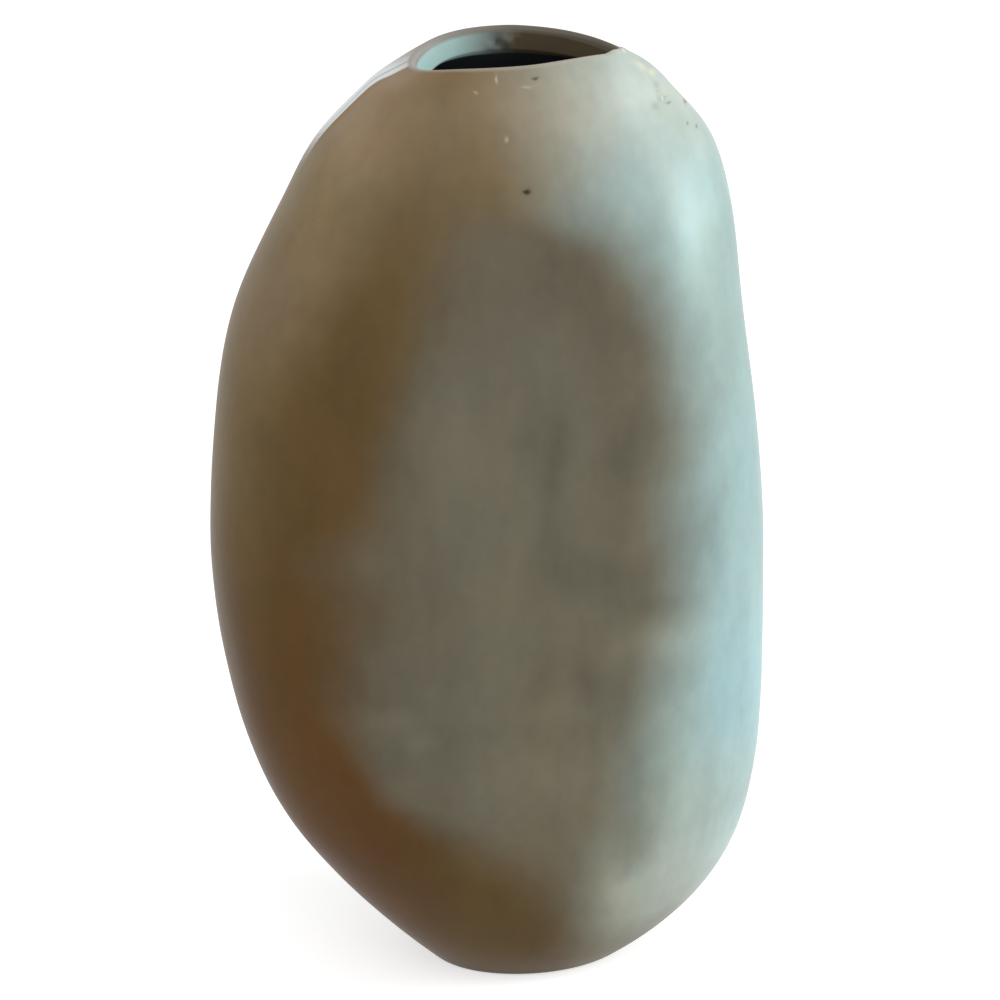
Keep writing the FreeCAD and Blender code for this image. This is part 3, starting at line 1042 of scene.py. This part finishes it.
shade = 1.0
layers = []
for spread, stretch, seed, strength in CLOUD_LAYERS:
    layers.append(cloud(tree, given["Position"], spread, stretch, seed))
    shade = plus(tree, shade, times(tree, layers[-1], strength))
for x, z, width, tall, lighter in PATCHES:
    mask = patch(tree, place, (x, FRONT_PLACE, z), (width, FRONT_DEPTH, tall))
    shade = plus(tree, shade, times(tree, mask, lighter))
hue = rise(tree, cloud(tree, given["Position"], *HUE_CLOUD), *HUE_SPAN)
colour = vector(tree, "MULTIPLY", colour, blend(tree, hue, WARM_TINT, COOL_TINT))
tree.links.new(scaled(tree, colour, shade), made["Tone"])
dryness = times(tree, plus(tree, layers[0], layers[-1]), 0.5)
# The glaze is glossiest under the painted shoulder highlight
dryness = minus(tree, dryness, times(tree, shoulder_highlight, SHOULDER_HIGHLIGHT_GLOSS))
tree.links.new(dryness, made["Dryness"])
print("patches on the walls:", len(PATCHES))

# %% [markdown]
# ## The mouth
#
# The lip has a band of its own: pale at the left end of its back and darker to the right, with a
# painted pale highlight along its front. The collar inside is glossier, and its tones are painted
# light and shade: mint on the left, which faces the light, and brown in shade towards the right.
# Below the collar the inside is painted nearly black, as the shade deep inside the vase.
# `past_lip` tells the shader where along the skin it is, so the bands follow the wavy lip by
# themselves.

# %% Tones of the mouth
# The collar's tones are painted light and shade: mint where it faces the light, brown in shade
# how far across, and the tone there
COLLAR_LIGHT_AND_SHADE_TONES = (
    (-32, tone(0.420, 0.640, 0.620)), (-10, tone(0.390, 0.560, 0.540)),
    (0, tone(0.270, 0.350, 0.330)), (8, tone(0.130, 0.145, 0.130)),
    (16, tone(0.086, 0.070, 0.042)), (30, tone(0.092, 0.072, 0.044)),
    (50, tone(0.110, 0.082, 0.044)),
)
LIP_TONES = (
    (-32, tone(0.380, 0.370, 0.340)), (-8, tone(0.230, 0.210, 0.185)),
    (14, tone(0.130, 0.110, 0.085)), (50, tone(0.120, 0.100, 0.075)),
)
# A painted pale highlight along the front of the lip
FRONT_LIP_HIGHLIGHT_TONE = tone(0.420, 0.370, 0.310)
# Painted shade: the inside below the collar is painted nearly black
INSIDE_SHADE_TONE = tone(0.022, 0.026, 0.030)
# A painted white reflection behind the ridge, with a grey streak painted in it
REFLECTION_STRIP_TONE = tone(0.780, 0.820, 0.820)
REFLECTION_STREAK_TONE = tone(0.540, 0.565, 0.570)
print("tones across the mouth:", len(COLLAR_LIGHT_AND_SHADE_TONES), len(LIP_TONES))

# %% [markdown]
# ## The painted reflection behind the ridge
#
# Behind the pinched ridge on the left shoulder a white reflection is painted, with a grey streak
# painted in it. The reflection is a soft patch that stops at the ridge, and the streak is a line a
# few millimetres behind it. The glaze is glossy there too.

# %% The mouth group and its painted reflection
MOUTH_DRIFT = (13.0, 0.8, 4.0)
BEHIND_RIDGE = (-0.8, 1.2)
REFLECTION_PLACE, REFLECTION_SIZE, REFLECTION_SPAN = (-46.0, 5.0, 353.0), (32.0, 12.5, 21.0), (0.05, 0.80)
STREAK_PLACE, STREAK_SPAN = 4.5, (1.5, 0.3)

mouth_tones, given, made = new_group(
    "mouth_tones",
    {"Position": "Vector", "Past Lip": "Float", "Tone": "Color"}, {"Tone": "Color", "Gloss": "Float"})
tree = mouth_tones
place = wander(tree, given["Position"], *MOUTH_DRIFT)
across, deep = (split_up(tree, place)[letter] for letter in "XY")
# The painted reflection stops at the ridge; the grey streak is painted a few millimetres behind it
reflection_strip = times(tree, patch(tree, place, REFLECTION_PLACE, REFLECTION_SIZE), rise(tree, deep, *BEHIND_RIDGE))
from_streak = number(tree, "ABSOLUTE", minus(tree, deep, STREAK_PLACE))
reflection_tone = blend(tree, rise(tree, from_streak, *STREAK_SPAN), REFLECTION_STRIP_TONE, REFLECTION_STREAK_TONE)
colour = blend(tree, rise(tree, reflection_strip, *REFLECTION_SPAN), given["Tone"], reflection_tone)
print("nodes for the pool:", len(tree.nodes))

# %% The lip, the collar and the painted shade inside
LIP_BAND, COLLAR_START, COLLAR_END = (3.2, 1.5), (1.2, 3.0), (10.2, 11.6)
FRONT_LIP_SPAN, FRONT_LIP_SHARE = (-6.0, 0.0), 0.5

# The front of the lip takes a painted highlight
front_lip_highlight = blend(tree, FRONT_LIP_SHARE, colour, FRONT_LIP_HIGHLIGHT_TONE)
back_lip = tone_along(tree, across, LIP_TONES)
lip = blend(tree, rise(tree, deep, *FRONT_LIP_SPAN), front_lip_highlight, back_lip)
on_lip = rise(tree, number(tree, "ABSOLUTE", given["Past Lip"]), *LIP_BAND)
colour = blend(tree, on_lip, colour, lip)
inside = rise(tree, given["Past Lip"], *COLLAR_START)
colour = blend(tree, inside, colour, tone_along(tree, across, COLLAR_LIGHT_AND_SHADE_TONES))
# Below the collar the painted shade of the inside takes over
below_collar = rise(tree, given["Past Lip"], *COLLAR_END)
tree.links.new(blend(tree, below_collar, colour, INSIDE_SHADE_TONE), made["Tone"])
gloss = times(tree, inside, minus(tree, 1.0, below_collar))
tree.links.new(number(tree, "MAXIMUM", gloss, reflection_strip), made["Gloss"])
print("nodes for the mouth:", len(tree.nodes))

# %% [markdown]
# ## Small marks
#
# No kiln gives a clean surface. Here are the few marks that this vase has: pits where a grain
# popped out, pale ticks where the glaze ran over a ridge, smudges and a white fleck on the right
# shoulder, and one painted glint at the right end of the lip. Each is one row of a table, so that
# a mark can be moved without touching the others. All lie on the skin, so each reaches a few
# millimetres in depth to be sure to meet it.

# %% The marks as a group
PIT_TONE, SMUDGE_TONE = tone(0.030, 0.026, 0.022), tone(0.260, 0.300, 0.260)
TICK_TONE, CREAM_TONE = tone(0.520, 0.450, 0.340), tone(0.640, 0.610, 0.470)
# White for a fleck on the right shoulder and for a painted glint on the lip
WHITE_FLECK_AND_GLINT_TONE = tone(0.850, 0.850, 0.820)
MARKS = (
    # across, deep, height, width, tall, strength, tone
    (4.8, -45.4, 327.4, 1.3, 0.8, 1.5, PIT_TONE),
    (12.2, -26.4, 364.5, 1.2, 0.5, 0.8, PIT_TONE),
    (-2.0, -25.1, 364.5, 0.4, 1.2, 0.7, TICK_TONE),
    (-10.1, -26.7, 360.5, 0.6, 0.5, 0.45, TICK_TONE),
    (-0.8, -36.7, 345.1, 0.6, 0.9, 0.5, TICK_TONE),
    (8.5, -28.1, 361.8, 1.8, 0.5, 0.4, TICK_TONE),
    (56.1, -9.8, 362.8, 3.2, 2.2, 0.6, CREAM_TONE),
    (60.5, -9.0, 359.7, 2.8, 1.2, 0.6, CREAM_TONE),
    (66.2, -4.9, 356.1, 5.5, 4.0, 0.5, tone(0.380, 0.380, 0.400)),
    (61.1, -12.9, 356.1, 2.0, 1.2, 0.5, SMUDGE_TONE),
    (59.3, -20.3, 349.8, 2.2, 1.4, 0.5, SMUDGE_TONE),
    (62.7, -15.9, 351.5, 1.6, 1.3, 0.6, SMUDGE_TONE),
    (62.7, -15.9, 351.5, 0.4, 0.9, 0.5, WHITE_FLECK_AND_GLINT_TONE),
    (60.6, -17.5, 352.0, 0.4, 1.7, 0.5, SMUDGE_TONE),
    (64.4, -14.0, 351.4, 1.8, 0.4, 0.5, SMUDGE_TONE),
    (61.3, -14.6, 354.0, 1.3, 0.4, 0.45, SMUDGE_TONE),
    (65.5, -15.5, 349.4, 1.5, 0.35, 0.5, PIT_TONE),
    (74.0, -6.0, 347.0, 1.4, 0.7, 0.7, tone(0.110, 0.060, 0.080)),
    (72.1, -17.1, 341.8, 0.5, 0.4, 0.45, PIT_TONE),
    (76.3, -14.5, 339.7, 0.6, 0.5, 0.55, PIT_TONE),
    # A painted glint at the right end of the lip
    (50.0, -3.5, 367.2, 0.8, 0.8, 1.3, WHITE_FLECK_AND_GLINT_TONE),
)
MARK_DEPTH = 2.5
MARK_DRIFT = (2.4, 0.35, 8.0)

wall_marks, given, made = new_group(
    "wall_marks", {"Position": "Vector", "Tone": "Color"}, {"Tone": "Color"})
tree = wall_marks
place = wander(tree, given["Position"], *MARK_DRIFT)
colour = given["Tone"]
for x, y, z, width, tall, strength, mark_tone in MARKS:
    mask = patch(tree, place, (x, y, z), (width, MARK_DEPTH, tall))
    colour = blend(tree, times(tree, mask, strength), colour, mark_tone)
tree.links.new(colour, made["Tone"])
print("marks:", len(MARKS))

# %% [markdown]
# ## The layers of the glaze
#
# The walls, the mouth and the side of the foot wear one glaze, so one function stacks its groups.
# It is satin: a middling roughness that grows where the glaze lies thin and dry, and glossy inside
# the collar and under the painted reflection behind the ridge. Its surface is very slightly uneven,
# like the peel of an orange, with a pit at each pinhole.

# %% Glaze layers
SATIN, GLOSSY, DRY_STEP = 0.40, 0.17, 0.05
HOLE_SPACING, HOLE_SIZE, HOLE_SHARE, HOLE_STRENGTH, HOLE_DEPTH = 7.0, 0.3, 0.12, 0.6, -0.15
PEEL, PEEL_HEIGHT = (2.2, 1.0, 9.0), 0.012
MM_PER_METRE = 1 / MM


def glaze_layers(tree):
    """The place that is shaded, and the colour, roughness and bumps of the glaze there."""
    place = scaled(tree, add_node(tree, "ShaderNodeTexCoord").outputs["Object"], MM_PER_METRE)
    distance = add_node(tree, "ShaderNodeAttribute", attribute_name="past_lip").outputs["Fac"]
    distance = times(tree, distance, MM_PER_METRE)
    wall = place_group(tree, wall_tones, {"Position": place})
    mouth = place_group(tree, mouth_tones, {"Position": place, "Past Lip": distance, "Tone": wall["Tone"]})
    marked = place_group(tree, wall_marks, {"Position": place, "Tone": mouth["Tone"]})["Tone"]
    scatter = {"Position": place, "Spacing": HOLE_SPACING, "Size": HOLE_SIZE, "Share": HOLE_SHARE}
    holes = place_group(tree, pinholes, scatter)["Mask"]
    colour = blend(tree, times(tree, holes, HOLE_STRENGTH), marked, PIT_TONE)
    rough = plus(tree, times(tree, mouth["Gloss"], GLOSSY - SATIN), SATIN)
    rough = plus(tree, rough, times(tree, wall["Dryness"], DRY_STEP))
    bumps = times(tree, cloud(tree, place, *PEEL), PEEL_HEIGHT)
    bumps = plus(tree, bumps, times(tree, holes, HOLE_DEPTH))
    return place, colour, rough, bumps


# %% [markdown]
# ## The wiped foot
#
# A potter wipes the glaze off the foot before firing, or it would stick to the kiln shelf. The line
# where the sponge stopped is never straight, so it is read at a place that wanders. Below it lies
# bare clay: rough, without shine, and grainy like fine sand.

# %% Bare clay below the wiped line
BARE = 0.85
CLAY_TONE = tone(0.360, 0.300, 0.220)
WIPE_DRIFT, WIPE_HEIGHTS = (8.0, 0.5, 6.0), (2.4, 1.2)
GRAIN, GRAIN_SHADE, GRAIN_HEIGHT = (0.9, 1.0, 13.0), 0.12, 0.06


def wipe_foot(tree, place, colour, rough, bumps):
    """Lays bare clay over the three layers, below the wiped line."""
    level = split_up(tree, wander(tree, place, *WIPE_DRIFT))["Z"]
    wiped_share = rise(tree, level, *WIPE_HEIGHTS)
    grain = cloud(tree, place, *GRAIN)
    clay = scaled(tree, CLAY_TONE[:3], plus(tree, times(tree, grain, GRAIN_SHADE), 1.0))
    colour = blend(tree, wiped_share, colour, clay)
    rough = plus(tree, rough, times(tree, wiped_share, minus(tree, BARE, rough)))
    bumps = plus(tree, bumps, times(tree, times(tree, grain, wiped_share), GRAIN_HEIGHT))
    return colour, rough, bumps


# %% [markdown]
# ## The three finishes
#
# The layers meet in one shader per finish. Its reflection is weaker than that of window glass,
# because a satin glaze is full of tiny crystals. The bumps only tilt the light, since they are far
# too fine for the mesh.

# %% Glaze materials
REFLECTION = 0.13
BUMP_STRENGTH = 0.7


def glaze_material(name, wiped_foot=False):
    material = bpy.data.materials.new(name)
    material.use_nodes = True
    tree = material.node_tree
    place, colour, rough, bumps = glaze_layers(tree)
    if wiped_foot:
        colour, rough, bumps = wipe_foot(tree, place, colour, rough, bumps)
    bump = add_node(tree, "ShaderNodeBump", {"Height": bumps, "Distance": MM, "Strength": BUMP_STRENGTH})
    shader = tree.nodes["Principled BSDF"]
    shader.inputs["Specular IOR Level"].default_value = REFLECTION
    tree.links.new(colour, shader.inputs["Base Color"])
    tree.links.new(rough, shader.inputs["Roughness"])
    tree.links.new(bump.outputs["Normal"], shader.inputs["Normal"])
    return material


wall_glaze = glaze_material("wall_glaze")
lip_glaze = glaze_material("lip_glaze")
foot_clay = glaze_material("foot_clay", wiped_foot=True)
finishes = ((front_wall, wall_glaze), (back_wall, wall_glaze), (mouth_ring, lip_glaze), (foot, foot_clay))
for piece, finish in finishes:
    piece.data.materials.append(finish)
    print(piece.name, "wears", finish.name)

# %% [markdown]
# ## Light
#
# A satin glaze shows its form by one broad soft highlight. A tall softbox stands on the vase's
# right, and a wide one above the front fills the rest. The world gives an even room light.

# %% Lamps
LAMPS = (
    # name, place and what it points at in metres, width, height, watts
    ("key_softbox", (1.13, -0.37, 0.58), (0, 0, 0.24), 0.26, 0.95, 12.5),
    ("top_softbox", (-0.5, -1.2, 1.6), (0, 0, 0.2), 1.4, 1.4, 12),
)


def area_light(name, place, aim_at, width, height, power):
    data = bpy.data.lights.new(name, "AREA")
    data.shape = "RECTANGLE"
    data.size = width
    data.size_y = height
    data.energy = power
    lamp = bpy.data.objects.new(name, data)
    lamp.location = place
    lamp.rotation_mode = "QUATERNION"
    lamp.rotation_quaternion = (Vector(aim_at) - Vector(place)).to_track_quat("-Z", "Y")
    bpy.context.scene.collection.objects.link(lamp)


for lamp in LAMPS:
    area_light(*lamp)
print("lamps:", [light.name for light in bpy.data.lights])

# %% [markdown]
# ## Room light
#
# A white room lights the vase evenly. The camera and the reflections see the room at full white,
# and the clay gets about half of that, so the glaze keeps its own tones.

# %% Room light and white background
ROOM_LIGHT = 0.55
world = bpy.data.worlds.new("studio")
bpy.context.scene.world = world
world.use_nodes = True
tree = world.node_tree
path = add_node(tree, "ShaderNodeLightPath").outputs
direct = number(tree, "MAXIMUM", path["Is Camera Ray"], path["Is Glossy Ray"])
direct = number(tree, "MAXIMUM", direct, path["Is Transmission Ray"])
strength = add_node(tree, "ShaderNodeMapRange", {"Value": direct, "To Min": ROOM_LIGHT, "To Max": 1.0})
background = tree.nodes["Background"]
background.inputs["Color"].default_value = WHITE
tree.links.new(strength.outputs["Result"], background.inputs["Strength"])
print("room light on the clay:", ROOM_LIGHT)

# %% [markdown]
# ## Floor
#
# The floor is a wide pale sheet. It glows a little for the camera and in reflections, so that it
# melts into the white background, and still takes the soft shadow of the vase.

# %% Floor
FLOOR_HALF = 4.0
FLOOR_TONE, FLOOR_ROUGHNESS, FLOOR_GLOW = 0.7, 0.9, 0.6
corners = [(x * FLOOR_HALF, y * FLOOR_HALF, 0) for x, y in ((-1, -1), (1, -1), (1, 1), (-1, 1))]
floor_mesh = bpy.data.meshes.new("floor")
floor_mesh.from_pydata(corners, [], [(0, 1, 2, 3)])
floor = bpy.data.objects.new("floor", floor_mesh)
bpy.context.scene.collection.objects.link(floor)
pale_floor = bpy.data.materials.new("pale_floor")
pale_floor.use_nodes = True
floor_mesh.materials.append(pale_floor)
tree = pale_floor.node_tree
shader = tree.nodes["Principled BSDF"]
shader.inputs["Base Color"].default_value = tone(FLOOR_TONE, FLOOR_TONE, FLOOR_TONE)
shader.inputs["Roughness"].default_value = FLOOR_ROUGHNESS
shader.inputs["Emission Color"].default_value = WHITE
path = add_node(tree, "ShaderNodeLightPath").outputs
seen = number(tree, "MAXIMUM", path["Is Camera Ray"], path["Is Glossy Ray"])
tree.links.new(times(tree, seen, FLOOR_GLOW), shader.inputs["Emission Strength"])
print("floor:", 2 * FLOOR_HALF, "m wide")
